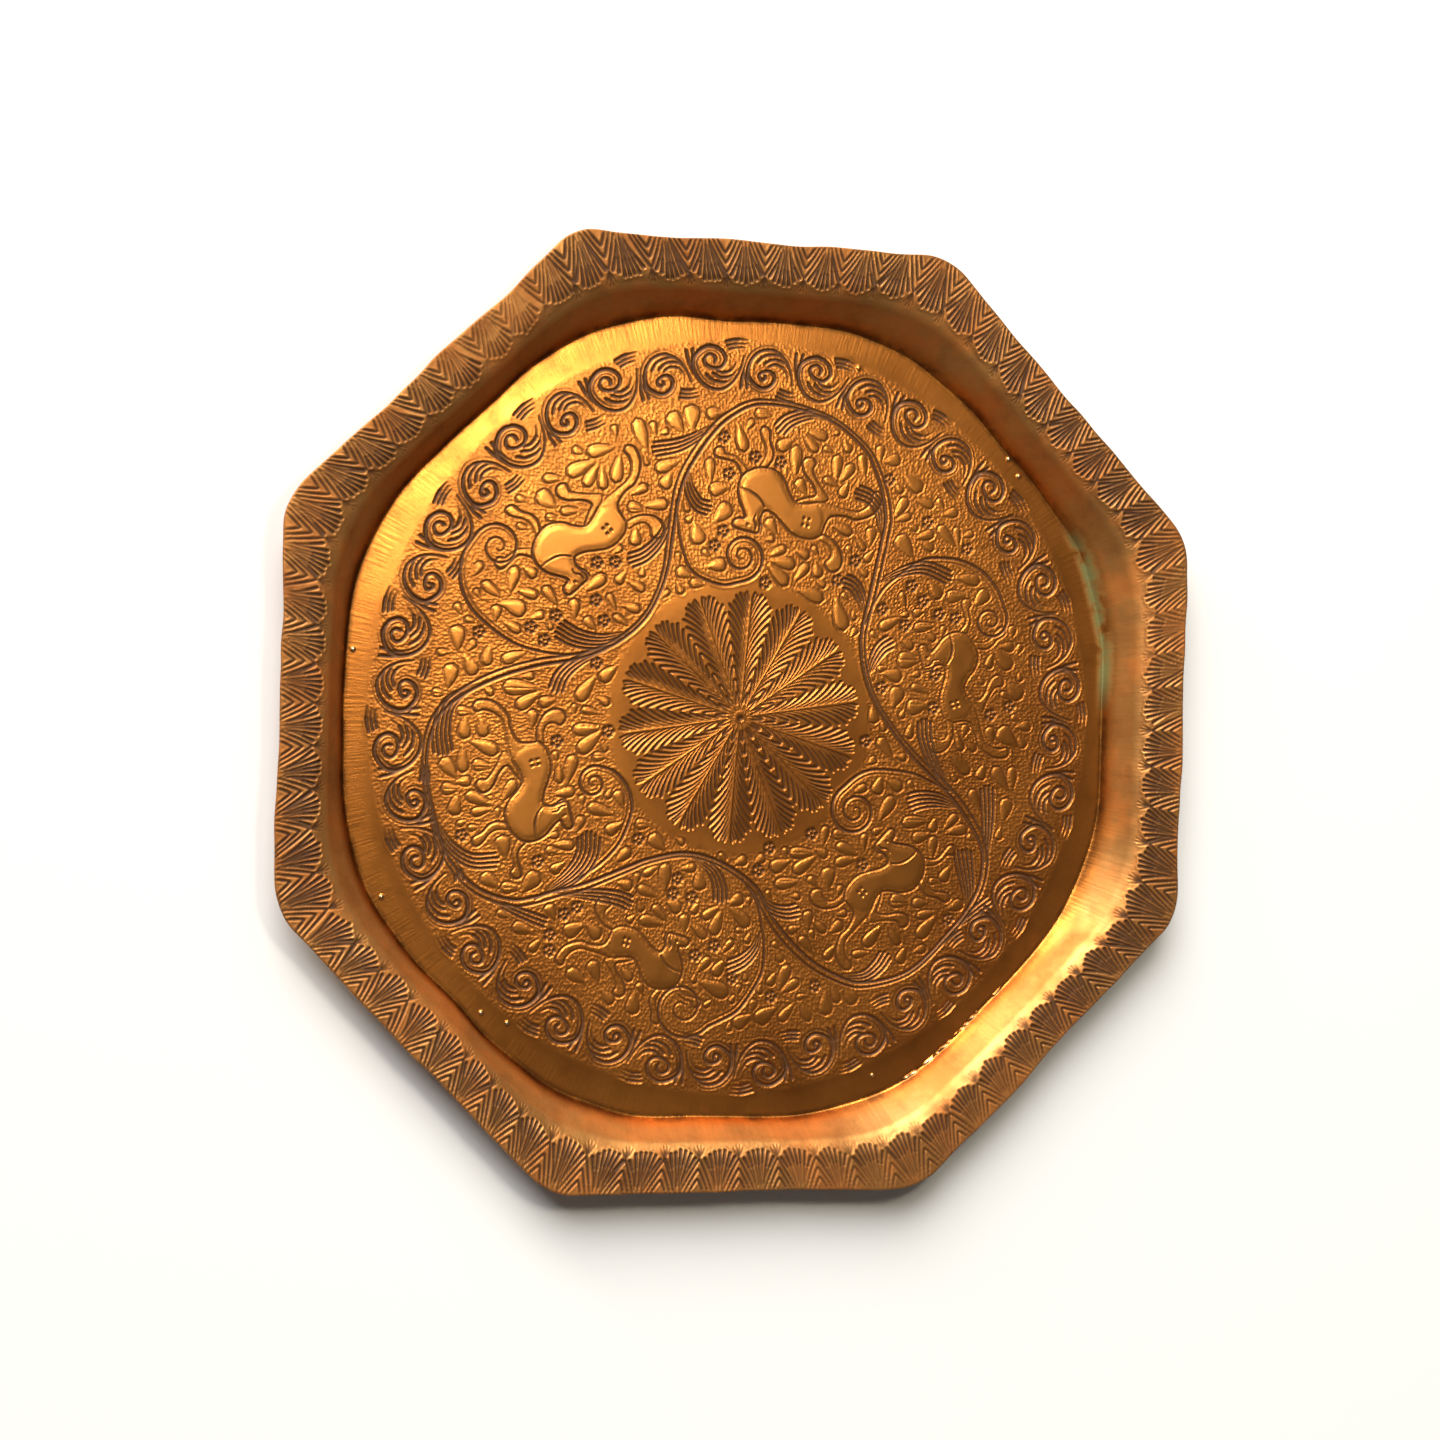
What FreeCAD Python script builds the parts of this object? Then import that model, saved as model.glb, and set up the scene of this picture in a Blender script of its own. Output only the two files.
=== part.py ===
"""Hammered copper tray: one sheet of copper, hammered down into a shallow eight-sided tray.

The sheet keeps one thickness all over.  From the middle outwards it is a flat floor, a steep wall
that turns up at a crisp crease, a soft shoulder, and a flat rim with eight straight sides.  The
well is nearly round at the floor and clearly eight-sided at the rim, so each outline is an octagon
with its own corner radius.  The tray has no other piece: its edge is the cut edge of the sheet.

The origin is in the middle of the tray, on the surface that the tray stands on, with +Z up.  Two of
the rim's sides face +X and -X, and two face +Y and -Y.
"""
import FreeCAD, Part
import math
import os
import Sketcher

SIDES = 8
TURN = 2 * math.pi / SIDES

# The driving dimensions of the tray, in millimetres.
SIZES = {
    "across_flats": 330.0,          # the rim, from one straight side to the opposite one
    "edge_corner_radius": 23.0,     # the rounded corners of the rim's outer edge
    "rim_width": 16.5,              # from the outer edge to where the rim and wall planes meet
    "mouth_corner_radius": 55.0,    # the corners of the well where it meets the rim
    "shoulder_radius": 8.0,         # the bend from the rim down into the wall, on its upper face
    "well_depth": 14.5,             # from the top of the rim down to the top of the floor
    "wall_run": 9.0,                # how far the wall travels inwards on its way down
    "floor_corner_radius": 92.0,    # the corners of the floor, which is nearly round
    "crease_radius": 0.8,           # the sharp bend from the wall into the floor, on its upper face
    "sheet_thickness": 1.0,
}

LEVEL_TOLERANCE = 1e-3

# Formulas over the sheet's cells, which the sketches and features are bound to.
EDGE = "sizes.across_flats / 2"
MOUTH = "(sizes.across_flats / 2 - sizes.rim_width)"
FLOOR = "(sizes.across_flats / 2 - sizes.rim_width - sizes.wall_run)"
RIM_TOP = "(sizes.well_depth + sizes.sheet_thickness)"
# The sheet's lower face follows its upper face one thickness away, so at each bend its outline lies
# further out by the thickness times the tangent of half the bend.
BEND_SHIFT = "sizes.sheet_thickness * tan(atan(sizes.well_depth / sizes.wall_run) / 2)"


def add_sizes(doc):
    """Put the driving dimensions in a spreadsheet, one row each, with the name as the alias."""
    sheet = doc.addObject("Spreadsheet::Sheet", "sizes")
    for row, (name, value) in enumerate(SIZES.items(), start=1):
        sheet.set(f"A{row}", name)
        sheet.set(f"B{row}", str(value))
        sheet.setAlias(f"B{row}", name)
    doc.recompute()


def floor_plane(body):
    """The body's own horizontal origin plane."""
    return next(plane for plane in body.Origin.OriginFeatures if plane.Role == "XY_Plane")


def direction(angle):
    return FreeCAD.Vector(math.cos(angle), math.sin(angle), 0)


def add_rounded_octagon(body, name, half_width, corner_radius, height):
    """A level sketch of an octagon with rounded corners; its sizes are formulas over the sheet."""
    sketch = body.newObject("Sketcher::SketchObject", name)
    sketch.AttachmentSupport = [(floor_plane(body), "")]
    sketch.MapMode = "FlatFace"
    sketch.setExpression("AttachmentOffset.Base.z", height)

    reach = float(sketch.evalExpression(half_width))
    radius = float(sketch.evalExpression(corner_radius))
    half_side = (reach - radius) * math.tan(TURN / 2)
    lines = []
    arcs = []
    for side in range(SIDES):
        outwards = direction(side * TURN)
        along = direction(side * TURN + math.pi / 2)
        ends = [outwards * reach - along * half_side, outwards * reach + along * half_side]
        lines.append(sketch.addGeometry(Part.LineSegment(*ends), False))
        centre = outwards * (reach - radius) + along * half_side
        corner = Part.Circle(centre, FreeCAD.Vector(0, 0, 1), radius)
        arc = Part.ArcOfCircle(corner, side * TURN, (side + 1) * TURN)
        arcs.append(sketch.addGeometry(arc, False))
    flats = Part.Circle(FreeCAD.Vector(), FreeCAD.Vector(0, 0, 1), reach)
    guide = sketch.addGeometry(flats, True)

    start, end, middle = 1, 2, 3
    origin = -1
    sketch.addConstraint(Sketcher.Constraint("Coincident", guide, middle, origin, start))
    for side in range(SIDES):
        sketch.addConstraint(Sketcher.Constraint("Tangent", lines[side], end, arcs[side], start))
        following = lines[(side + 1) % SIDES]
        sketch.addConstraint(Sketcher.Constraint("Tangent", arcs[side], end, following, start))
        sketch.addConstraint(Sketcher.Constraint("Tangent", lines[side], guide))
    for side in range(0, SIDES, 4):
        sketch.addConstraint(Sketcher.Constraint("Vertical", lines[side]))
        sketch.addConstraint(Sketcher.Constraint("Horizontal", lines[side + 2]))
    for side in range(1, SIDES, 2):
        heading = math.remainder(side * TURN + math.pi / 2, 2 * math.pi)
        sketch.addConstraint(Sketcher.Constraint("Angle", lines[side], heading))
    for side in range(1, SIDES):
        sketch.addConstraint(Sketcher.Constraint("Equal", arcs[0], arcs[side]))
    reach_row = sketch.addConstraint(Sketcher.Constraint("Radius", guide, reach))
    radius_row = sketch.addConstraint(Sketcher.Constraint("Radius", arcs[0], radius))
    sketch.renameConstraint(reach_row, "half_width")
    sketch.renameConstraint(radius_row, "corner_radius")
    sketch.setExpression("Constraints.half_width", half_width)
    sketch.setExpression("Constraints.corner_radius", corner_radius)
    sketch.Visibility = False
    return sketch


def edges_at(shape, height, reach):
    """The names of the edges that lie level at the given height and within reach of the middle."""
    found = []
    for number, edge in enumerate(shape.Edges, start=1):
        box = edge.BoundBox
        level = max(abs(box.ZMin - height), abs(box.ZMax - height)) < LEVEL_TOLERANCE
        middle = edge.valueAt((edge.FirstParameter + edge.LastParameter) / 2)
        if level and math.hypot(middle.x, middle.y) < reach:
            found.append(f"Edge{number}")
    return found


def add_bend(body, name, height, reach, radius):
    """Round the whole ring of edges at one height into a bend of the sheet."""
    doc = body.Document
    doc.recompute()
    base = body.Tip
    level = float(base.evalExpression(height))
    limit = float(base.evalExpression(reach))
    bend = body.newObject("PartDesign::Fillet", name)
    bend.Base = (base, edges_at(base.Shape, level, limit))
    bend.setExpression("Radius", radius)
    base.Visibility = False
    return bend


def build_tray(doc):
    """The whole tray: the rim and the outside of the well, then the hollow, then the bends."""
    body = doc.addObject("PartDesign::Body", "tray_sheet")
    body.Label = "tray_sheet"

    outline = add_rounded_octagon(
        body, "rim_outline", EDGE, "sizes.edge_corner_radius", "sizes.well_depth")
    rim = body.newObject("PartDesign::Pad", "rim")
    rim.Profile = outline
    rim.setExpression("Length", "sizes.sheet_thickness")

    base = add_rounded_octagon(
        body, "floor_underside", f"{FLOOR} + {BEND_SHIFT}", f"sizes.floor_corner_radius + {BEND_SHIFT}",
        "0 mm")
    neck = add_rounded_octagon(
        body, "mouth_underside", f"{MOUTH} + {BEND_SHIFT}", f"sizes.mouth_corner_radius + {BEND_SHIFT}",
        "sizes.well_depth")
    outside = body.newObject("PartDesign::AdditiveLoft", "well_outside")
    outside.Profile = base
    outside.Sections = [neck]
    outside.Ruled = True

    floor = add_rounded_octagon(
        body, "floor_top", FLOOR, "sizes.floor_corner_radius", "sizes.sheet_thickness")
    mouth = add_rounded_octagon(body, "mouth_top", MOUTH, "sizes.mouth_corner_radius", RIM_TOP)
    hollow = body.newObject("PartDesign::SubtractiveLoft", "well_hollow")
    hollow.Profile = floor
    hollow.Sections = [mouth]
    hollow.Ruled = True

    inside_edge = f"{EDGE} - sizes.rim_width / 4"
    add_bend(body, "shoulder_upper_face", RIM_TOP, inside_edge, "sizes.shoulder_radius")
    add_bend(body, "shoulder_lower_face", "sizes.well_depth", inside_edge,
             "sizes.shoulder_radius - sizes.sheet_thickness")
    add_bend(body, "crease_upper_face", "sizes.sheet_thickness", EDGE, "sizes.crease_radius")
    add_bend(body, "crease_lower_face", "0", EDGE, "sizes.crease_radius + sizes.sheet_thickness")
    return body


def check_and_write(doc, body):
    """Stop if anything failed to build; otherwise write the tray's solid to its own file."""
    for item in doc.Objects:
        if "Invalid" in item.State or "Error" in item.State:
            raise RuntimeError(f"{item.Label} did not build: {item.State}")
    shape = body.Shape
    if shape.isNull() or not shape.isValid() or len(shape.Solids) != 1:
        raise RuntimeError(f"{body.Label} is not one valid solid")
    os.makedirs("parts", exist_ok=True)
    shape.exportStep(os.path.join("parts", f"{body.Label}.step"))
    box = shape.BoundBox
    print(f"{body.Label}: {box.XLength:.2f} x {box.YLength:.2f} x {box.ZLength:.2f} mm,",
          f"volume {shape.Volume:.0f} mm3, from z = {box.ZMin:.3f}")


def main():
    doc = FreeCAD.newDocument("hammered_copper_tray")
    add_sizes(doc)
    body = build_tray(doc)
    doc.recompute()
    check_and_write(doc, body)


main()
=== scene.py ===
"""Chased copper tray: the visual model, its materials, the camera and the lights.

The tray is one sheet, so its visual model is the skin of that sheet in three pieces: the floor with
its ornament, the wall and rim, and the underside.  The ornament is drawn first, stroke by stroke,
as a relief over the plan of the tray.  The three skins then take their heights from that relief.
Plan sizes are in millimetres, with X and Y as in the CAD model, and become metres in the meshes.
"""
import bpy
import math
import numpy as np
from mathutils import Matrix, Vector


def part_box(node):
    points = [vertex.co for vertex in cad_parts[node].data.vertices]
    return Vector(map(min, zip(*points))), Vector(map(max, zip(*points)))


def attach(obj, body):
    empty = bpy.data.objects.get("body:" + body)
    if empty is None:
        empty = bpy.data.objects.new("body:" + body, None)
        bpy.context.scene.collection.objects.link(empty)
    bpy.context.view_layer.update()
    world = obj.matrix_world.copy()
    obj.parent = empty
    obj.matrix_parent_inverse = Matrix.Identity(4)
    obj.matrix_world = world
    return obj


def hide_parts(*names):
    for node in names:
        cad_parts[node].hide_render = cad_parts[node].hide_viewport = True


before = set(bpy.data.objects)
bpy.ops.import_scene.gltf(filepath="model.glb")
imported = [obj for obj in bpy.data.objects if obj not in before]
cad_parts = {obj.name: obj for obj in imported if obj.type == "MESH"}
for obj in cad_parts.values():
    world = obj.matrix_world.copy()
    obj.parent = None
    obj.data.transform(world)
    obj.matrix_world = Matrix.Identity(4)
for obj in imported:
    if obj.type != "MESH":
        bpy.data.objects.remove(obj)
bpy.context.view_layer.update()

MM = 0.001
SIDES = 8
TURN = math.tau / SIDES

# The sheet, as in the CAD model; its outer size and height come from the model itself.
cad_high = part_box("tray_sheet")[1]
EDGE = cad_high[0] / MM
RIM_TOP = cad_high[2] / MM
SHEET = 1.0
EDGE_CORNER = 23.0
MOUTH = EDGE - 16.5
MOUTH_CORNER = 55.0
FLOOR = MOUTH - 9.0
FLOOR_CORNER = 92.0
SHOULDER_RADIUS = 8.0
CREASE_RADIUS = 0.8

# The zones of the ornament, as distances from the middle.
ROSETTE = 44.0
FIELD = (47.0, 107.5)
BORDER_MIDDLE = 120.0
BORDER_END = 132.5
FAN_DEPTH = 14.0

# How strongly the sheet is worked, in millimetres.
LINE_DEPTH = 0.5
LIP_HEIGHT = 0.07
PIT_DEPTH = 0.15
PIT_PITCH = 1.1
BODY_HEIGHT = 0.18
LIMB_HEIGHT = 0.10
PETAL_HEIGHT = 0.15
FLOOR_LIFT = 0.2
FLOOR_HOLLOW = 0.35
PETAL_FULLNESS = 1.35

# A groove's lips: where they lie and how wide they are, as multiples of half its width.
LIP_PLACE = 1.45
LIP_SPREAD = 0.75

# A line is carved this many steps at a time, in small windows.
RUN = 5

chance = np.random.default_rng(8)


def direction(angle):
    return np.array([math.cos(angle), math.sin(angle)])


def left_of(heading):
    return np.array([-heading[1], heading[0]])


def polar(reach, angle):
    return np.stack([reach * np.cos(angle), reach * np.sin(angle)], 1)


def smooth_line(points, step=1.0, closed=False):
    """A Catmull-Rom curve through the points, with a new point about every step."""
    points = np.asarray(points, float)
    if closed:
        around = np.vstack([points[-1:], points, points[:2]])
    else:
        around = np.vstack([2 * points[0] - points[1], points, 2 * points[-1] - points[-2]])
    spans = []
    for before, start, end, after in zip(around[:-3], around[1:-2], around[2:-1], around[3:]):
        count = max(1, int(round(np.hypot(*(end - start)) / step)))
        t = np.linspace(0, 1, count, endpoint=False)[:, None]
        bend = 2 * before - 5 * start + 4 * end - after
        twist = 3 * start - before - 3 * end + after
        spans.append(start + 0.5 * (t * (end - before) + t ** 2 * bend + t ** 3 * twist))
    spans.append(points[:1] if closed else points[-1:])
    return np.vstack(spans)


def beside(line, distance):
    """The line moved sideways, to its left by a positive distance; one distance, or one per point."""
    heading = np.gradient(line, axis=0)
    heading /= np.maximum(np.hypot(heading[:, 0], heading[:, 1]), 1e-6)[:, None]
    left = np.stack([-heading[:, 1], heading[:, 0]], 1)
    return line + left * np.reshape(distance, (-1, 1))


class Plate:
    """Heights over the plan of the tray, on an even grid that reaches past the rim's corners."""

    half = 180.0
    pitch = 0.22

    def __init__(self):
        count = int(round(2 * self.half / self.pitch)) + 1
        self.axis = np.linspace(-self.half, self.half, count, dtype=np.float32)
        self.cut = np.zeros((count, count), np.float32)
        self.lip = np.zeros((count, count), np.float32)
        self.rise = np.zeros((count, count), np.float32)

    def window(self, points, margin):
        """The rows and columns round the points, and the plan coordinates there."""
        first = ((np.min(points, 0) - margin + self.half) / self.pitch).astype(int)
        last = ((np.max(points, 0) + margin + self.half) / self.pitch).astype(int) + 2
        first = np.clip(first, 0, len(self.axis) - 1)
        last = np.clip(last, 1, len(self.axis))
        rows = slice(first[1], last[1])
        columns = slice(first[0], last[0])
        return (rows, columns), self.axis[columns][None, :], self.axis[rows][:, None]

    def carve(self, line, width, depth=LINE_DEPTH, ends=(1.0, 1.0), lip=1.0):
        """A chased line: a rounded groove with a low lip each side, thinner or not at its ends."""
        line = np.asarray(line, float)
        share = np.interp(np.linspace(0, 1, len(line)), [0, 0.5, 1], [ends[0], 1, ends[1]])
        for start in range(0, len(line) - 1, RUN):
            part = line[start:start + RUN + 1]
            sizes = share[start:start + RUN + 1] * width / 2
            place, x, y = self.window(part, width * 1.3)
            reach = nearest(x, y, part, sizes)
            local = depth * sizes.mean() / (width / 2)
            groove = local * np.clip(1 - reach ** 2, 0, 1) ** 1.5
            self.cut[place] = np.maximum(self.cut[place], groove)
            bank = lip * LIP_HEIGHT * np.clip(1 - ((reach - LIP_PLACE) / LIP_SPREAD) ** 2, 0, 1)
            self.lip[place] = np.maximum(self.lip[place], bank)

    def swell(self, outline, height, shoulder):
        """A raised shape: it climbs over the width of its shoulder, inside a closed outline."""
        outline = np.asarray(outline, float)
        place, x, y = self.window(outline, 0.5)
        gap = nearest(x, y, outline, np.ones(len(outline)))
        inside = np.zeros(gap.shape, bool)
        for (ax, ay), (bx, by) in zip(outline[:-1], outline[1:]):
            if ay != by:
                crossing = ax + (y - ay) * (bx - ax) / (by - ay)
                inside ^= ((y < ay) != (y < by)) & (x < crossing)
        climb = 1 - np.clip(1 - gap / shoulder, 0, 1) ** 2
        bulge = np.where(inside, height * np.sqrt(climb) * climb, 0)
        self.rise[place] = np.maximum(self.rise[place], bulge)

    def stamp(self, centre, radius, shape, depth):
        """A punch mark: shape gives its depth, 0 to 1, from the distance and angle."""
        place, x, y = self.window(np.array([centre]), radius)
        across = x - centre[0]
        up = y - centre[1]
        mark = depth * shape(np.hypot(across, up), np.arctan2(up, across))
        self.cut[place] = np.maximum(self.cut[place], mark)

    def is_clear(self, points):
        """True if nothing is carved or raised at any of the points."""
        cells = ((np.asarray(points) + self.half) / self.pitch).astype(int)
        worked = self.cut[cells[:, 1], cells[:, 0]] + self.rise[cells[:, 1], cells[:, 0]]
        return not (worked > 0.03).any()

    def at(self, values, x, y):
        """The grid's values at plan positions, interpolated."""
        last = len(self.axis) - 1.001
        column = np.clip((x + self.half) / self.pitch, 0, last)
        row = np.clip((y + self.half) / self.pitch, 0, last)
        left = column.astype(int)
        below = row.astype(int)
        right_share = column - left
        upper_share = row - below
        lower = values[below, left] * (1 - right_share) + values[below, left + 1] * right_share
        upper = values[below + 1, left] * (1 - right_share) + values[below + 1, left + 1] * right_share
        return lower * (1 - upper_share) + upper * upper_share


def round_punch(radius):
    return lambda distance, angle: np.clip(1 - (distance / radius) ** 2, 0, 1)


def nearest(x, y, line, sizes):
    """The distance from each place to the line, as a multiple of the line's own size there."""
    best = np.float32(1e6)
    for (ax, ay), (bx, by), near, far in zip(line[:-1], line[1:], sizes[:-1], sizes[1:]):
        run_x = bx - ax
        run_y = by - ay
        length = max(run_x ** 2 + run_y ** 2, 1e-9)
        t = np.clip(((x - ax) * run_x + (y - ay) * run_y) / length, 0, 1)
        gap = np.hypot(x - ax - t * run_x, y - ay - t * run_y) / (near + t * (far - near))
        best = np.minimum(best, gap)
    return best


def blurred(values, reach, pitch):
    """The grid's values spread over about reach millimetres."""
    frequency = np.fft.fftfreq(values.shape[0], pitch)
    soft = np.exp(-2 * (math.pi * reach * frequency) ** 2)
    spread = np.fft.rfft2(values) * soft[:, None] * soft[None, :values.shape[1] // 2 + 1]
    return np.fft.irfft2(spread, values.shape).astype(np.float32)


RIPPLES = 9


def ripples(x, y, wavelength, seed):
    """Smooth uneven noise of about one wavelength, between about -1 and 1."""
    draw = np.random.default_rng(seed)
    total = 0.0
    for _ in range(RIPPLES):
        heading = draw.uniform(0, math.tau)
        scale = math.tau / (wavelength * draw.uniform(0.7, 1.5))
        across = (x * math.cos(heading) + y * math.sin(heading)) * scale
        total = total + np.sin(across + draw.uniform(0, math.tau))
    return total / math.sqrt(RIPPLES) / 1.4


# ---- the tray's own outlines


def rounded_octagon(angle, reach, corner):
    """How far an octagon with rounded corners reaches from the middle at each angle."""
    folded = np.abs((angle + TURN / 2) % TURN - TURN / 2)
    centre_x = reach - corner
    centre_y = centre_x * math.tan(TURN / 2)
    along = centre_x * np.cos(folded) + centre_y * np.sin(folded)
    inside = np.maximum(corner ** 2 - centre_x ** 2 - centre_y ** 2 + along ** 2, 0)
    on_side = reach * np.tan(folded) < centre_y
    return np.where(on_side, reach / np.cos(folded), along + np.sqrt(inside))


def around_tray(angle, wavelength, seed):
    """Hand-made unevenness along an outline, between about -1 and 1."""
    return ripples(140 * np.cos(angle), 140 * np.sin(angle), wavelength, seed)


def edge_reach(angle):
    """The cut edge of the sheet, trimmed by hand a little inside its full size."""
    wander = 0.45 * around_tray(angle, 42, 21) + 0.2 * around_tray(angle, 15, 22)
    return rounded_octagon(angle, EDGE, EDGE_CORNER) - 0.75 + np.clip(wander, -0.7, 0.7)


def mouth_reach(angle):
    return rounded_octagon(angle, MOUTH, MOUTH_CORNER) + 0.5 * around_tray(angle, 55, 23)


def floor_reach(angle):
    """The crease round the floor, a little off centre and uneven, as it was hammered."""
    off_centre = -0.9 * np.cos(angle) - 0.7 * np.sin(angle)
    return rounded_octagon(angle, FLOOR, FLOOR_CORNER) + off_centre + 0.45 * around_tray(angle, 38, 24)


# ---- the vine and its leaves

STEM = [(0, 109.5), (-8.3, 104.5), (-13.7, 99.1), (-19.1, 91.4), (-23.3, 83.7), (-25.6, 75.2),
        (-27.2, 62.2), (-28.3, 52.2), (-30.6, 43.7), (-35.2, 34.5), (-42.2, 27.5), (-50.6, 22.5),
        (-60.6, 19.1), (-72.9, 16.8), (-83.7, 13.7), (-92.9, 9.8), (-100.6, 5.2), (-107.5, -1),
        (-110.8, -8), (-112, -16), (-111.4, -25.4), (-107.9, -40), (-105.5, -47), (-101.4, -53.8),
        (-95.2, -60), (-88.3, -63.8), (-79.8, -65.8), (-72.9, -65), (-63.7, -62.3), (-54.5, -60),
        (-39.1, -53.8), (-31.4, -50.8), (-19.8, -48.5), (-9.8, -50), (0, -54.6), (7.7, -60.8),
        (11.5, -67.7), (16.9, -75.4), (24.6, -83.1), (30.8, -87.7), (38.5, -91.5), (47.7, -94),
        (61.5, -91.5), (70.8, -86.2), (81.5, -75.4), (87.7, -68.5), (92.3, -60.8), (94.2, -53.8),
        (94.2, -46.2), (91, -38.5), (81.5, -26), (65.4, -11.5), (55.4, 0), (50, 8.3), (46.9, 16),
        (45.4, 23.7), (45.4, 31.4), (48.5, 45.2), (52.3, 63.7), (53.5, 71.4), (52.3, 79.8),
        (49.2, 88.3), (45.4, 95.2), (38.5, 101.4), (30.8, 106), (19.2, 109.5), (7.7, 110.6)]

# Each branch: its line as far as its coil, the middle of the coil, and its turns, positive to the left.
BRANCHES = [
    ([(-50.6, 22.5), (-60.6, 20), (-69.8, 20.2), (-81.4, 22.9), (-91.4, 29.1), (-98.3, 36),
      (-101.4, 44.5), (-100.6, 52.9), (-96.8, 59.1)], (-88.5, 55.8), -1.75),
    ([(-25.6, 75), (-24.8, 68.3), (-22.5, 57.5), (-18.3, 49.8), (-8.3, 46), (0, 47.5)],
     (-0.8, 56.3), 2.0),
    ([(45.8, 34), (47.7, 39.1), (52.3, 46.8), (58.5, 52.2), (66.2, 57.5), (73.8, 58.7), (82, 58),
      (90, 54.5), (96, 48.5), (99.2, 41.5)], (93.6, 36.9), -1.75),
    ([(80, -24.5), (73, -21.5), (65.4, -18.5), (53.8, -17.3), (48, -18), (43.5, -20.3),
      (39.8, -23.5)], (44, -32.3), 2.0),
    ([(3, -57), (8.5, -65.4), (10.4, -73.8), (11.5, -80), (11.2, -88.5), (8.5, -94.6),
      (3.8, -101.5), (0, -104.6), (-8.3, -108.5)], (-18, -101.8), -1.75),
    ([(-72, -64.5), (-62.2, -60), (-50.6, -53.1), (-42.9, -45.4), (-39.1, -36.9), (-38.3, -30.8),
      (-40.6, -24.6), (-45.2, -20), (-50.6, -18.3)], (-52.3, -24.3), 1.6)]

# How far apart a leaf's strokes are at their tips.
LEAF_SPACING = 1.6

# Each leaf: its line from the stem to the tip, and how many strokes it is cut with.
LEAVES = [
    ([(-12, 101.5), (-23.7, 94.5), (-34.5, 91.8)], 4),
    ([(-21.6, 86), (-20.8, 79.1), (-17.5, 73.7), (-12.9, 72.3)], 4),
    ([(31, 106), (23, 107.2), (15.4, 104.8), (11, 100.6)], 4),
    ([(51, 66), (50, 74.5), (46.5, 79), (40.8, 81)], 4),
    ([(-27.2, 70), (-30.6, 61.4), (-36, 55.5), (-42, 52.8)], 4),
    ([(-40, 28.3), (-50.6, 24.9), (-59.8, 25.6), (-66.8, 29)], 5),
    ([(-49, 22), (-58.5, 18), (-64.5, 12.9), (-67, 6.8)], 4),
    ([(-95, 8.8), (-104, 2), (-106.5, -7), (-105.5, -15.5)], 5),
    ([(-109.3, -36), (-103, -46), (-95, -51.4), (-85.4, -51.2)], 4),
    ([(-70, -63.5), (-59, -56), (-54, -49), (-53.5, -41)], 6),
    ([(-89, -64), (-77.5, -69), (-68, -72.5)], 3),
    ([(-64, -62.3), (-50.6, -62.8), (-42.2, -64), (-37.5, -66)], 4),
    ([(-16, -49), (-8.5, -53.8), (-5.5, -59.5), (-5, -65)], 4),
    ([(10, -75), (8, -81), (3.8, -85.4), (-2, -88)], 4),
    ([(8.5, -62), (13.8, -66.9), (19.5, -68.3), (24, -67.5)], 4),
    ([(38, -91), (48.5, -91), (54, -87.5), (57.5, -82.5)], 4),
    ([(88.5, -67.5), (88, -59), (86.5, -51), (85.5, -45.5)], 5),
    ([(84.6, -73), (90.8, -67.7), (96.5, -63.5)], 3),
    ([(94.5, -50), (95, -38), (94.8, -30), (94.2, -22.3)], 4),
    ([(84, -30.2), (75.4, -27.8), (69, -27.8), (64.2, -29.2)], 5),
    ([(81.5, -25.5), (74.5, -16.5), (70.3, -7), (69.3, 1)], 4),
    ([(50.5, 49), (59, 53.2), (68, 55), (78, 51.5)], 4),
    ([(46, 37.5), (43.8, 43.7), (41, 47.8), (37, 49.3)], 4),
    ([(47.5, 16), (49.4, 21.4), (52.3, 26), (56.2, 28.6)], 4)]


def coiled(lead, centre, turns):
    """A line along the lead, which then winds in on the centre."""
    arm = np.subtract(lead[-1], centre)
    t = np.linspace(0, 1, int(24 * abs(turns)))[1:]
    angle = math.atan2(arm[1], arm[0]) + math.tau * turns * t
    reach = np.hypot(*arm) * (1 - 0.9 * t ** 0.85)
    return np.vstack([smooth_line(lead), centre + polar(reach, angle)])


def draw_vine(plate):
    stem = smooth_line(STEM, 1.2, closed=True)
    width = 1.7 + 0.5 * np.sin(np.linspace(0, 12 * math.pi, len(stem)))
    plate.carve(beside(stem, width / 2), 1.35, 0.6)
    plate.carve(beside(stem, -width / 2), 0.95, 0.5)
    for lead, centre, turns in BRANCHES:
        branch = coiled(lead, centre, turns)
        plate.carve(branch, 1.3, 0.58, ends=(0.7, 0.6))
        inner = math.copysign(1.5, turns)
        plate.carve(beside(branch[6:-14], inner), 0.75, 0.36, ends=(0.3, 0.5))


def draw_leaf(plate, line, strokes):
    """A leaf of strokes that leave the stem together and spread towards their tips."""
    middle = smooth_line(line)
    t = np.linspace(0, 1, len(middle))
    for stroke in range(strokes):
        place = stroke - (strokes - 1) / 2
        opening = place * LEAF_SPACING * (0.25 + 0.75 * np.sin(t * math.pi / 2))
        trimmed = len(middle) - int(abs(place) * 0.8)
        skipped = int(abs(place) * 1.8)
        plate.carve(beside(middle, opening)[skipped:trimmed], 1.05, 0.62, ends=(0.45, 1.0))


# ---- the animals

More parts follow.
